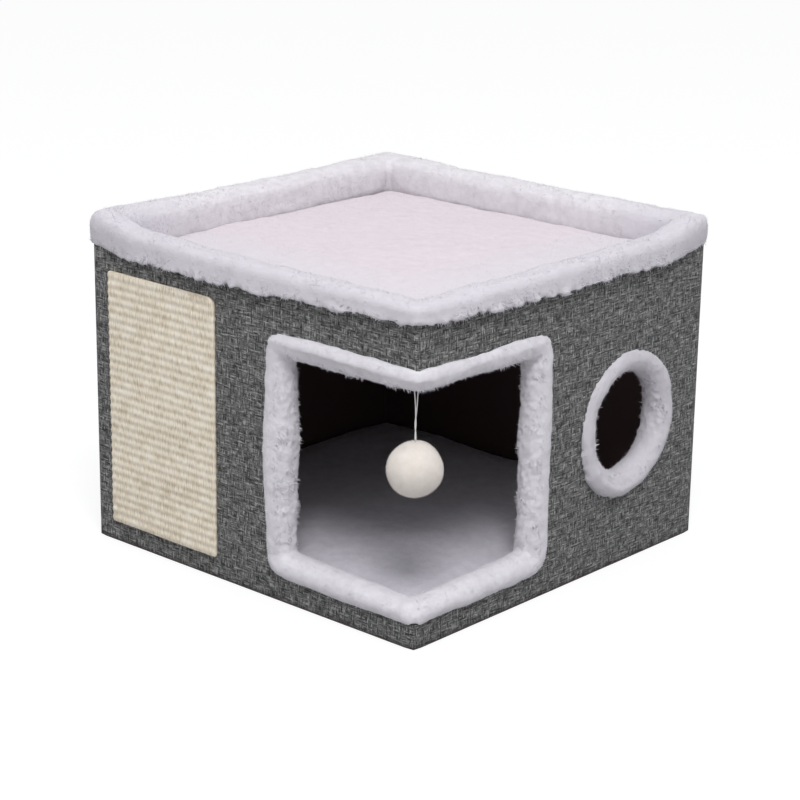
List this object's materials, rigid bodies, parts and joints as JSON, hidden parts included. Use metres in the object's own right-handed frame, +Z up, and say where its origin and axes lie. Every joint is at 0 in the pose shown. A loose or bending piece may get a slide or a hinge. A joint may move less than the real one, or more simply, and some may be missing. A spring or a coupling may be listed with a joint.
{
  "type": "cat cave bed",
  "caption": "Padded fabric cat cave with a corner entrance, a round window, a sisal scratching panel, a hanging pompom and a sunken plush bed on top.",
  "frame": {"origin": "on the floor, at the centre of the cave's underside", "axes": "+Z up; +X out of the wall with the round window; -Y out of the wall with the scratching panel; the entrance corner is at +X -Y"},
  "size_m": [0.4355, 0.4355, 0.329],
  "materials": {
    "linen": "coarse woven heather linen",
    "lining": "thin black lining cloth",
    "plush": "short curly plush pile",
    "fibreboard": "bare fibreboard",
    "foam": "soft open-cell foam or wadding",
    "sisal": "woven sisal with level ribs",
    "string": "twisted cotton",
    "pompom": "short dense pile"
  },
  "bodies": {
    "cave": {"base_cloth": "lining", "base_board": "fibreboard", "front_wall_board": "fibreboard", "right_wall_board": "fibreboard", "back_wall_board": "fibreboard", "left_wall_board": "fibreboard", "front_wall_foam": "foam", "right_wall_foam": "foam", "back_wall_foam": "foam", "left_wall_foam": "foam", "linen_cover": "linen", "wall_lining": "lining", "entrance_trim": "plush", "window_trim": "plush", "front_rim": "plush", "right_rim": "plush", "back_rim": "plush", "left_rim": "plush", "front_ledge": "lining", "right_ledge": "lining", "back_ledge": "lining", "left_ledge": "lining", "sisal_panel": "sisal"},
    "top_bed": {"ceiling_cloth": "lining", "bed_board": "fibreboard", "bed_foam": "foam", "bed_cover": "plush"},
    "floor_mat": {"mat_underside": "lining", "mat_foam": "foam", "mat_cover": "plush"},
    "toy_knot": {"toy_knot": "string"},
    "toy": {"toy_string": "string", "pompom": "pompom"}
  },
  "joints": [
    {"name": "bed_lift", "type": "slide", "parent": "cave", "child": "top_bed", "axis": [0, 0, 1], "range_m": [0, 0.06]},
    {"name": "mat_lift", "type": "slide", "parent": "cave", "child": "floor_mat", "axis": [0, 0, 1], "range_m": [0, 0.06]},
    {"name": "toy_swing_side", "type": "hinge", "parent": "cave", "child": "toy_knot", "pos_m": [0.1935, -0.1935, 0.23771], "axis": [1, 0, 0], "range_deg": [-45, 45]},
    {"name": "toy_swing_front", "type": "hinge", "parent": "toy_knot", "child": "toy", "pos_m": [0.1935, -0.1935, 0.23771], "axis": [0, 1, 0], "range_deg": [-45, 45]}
  ]
}
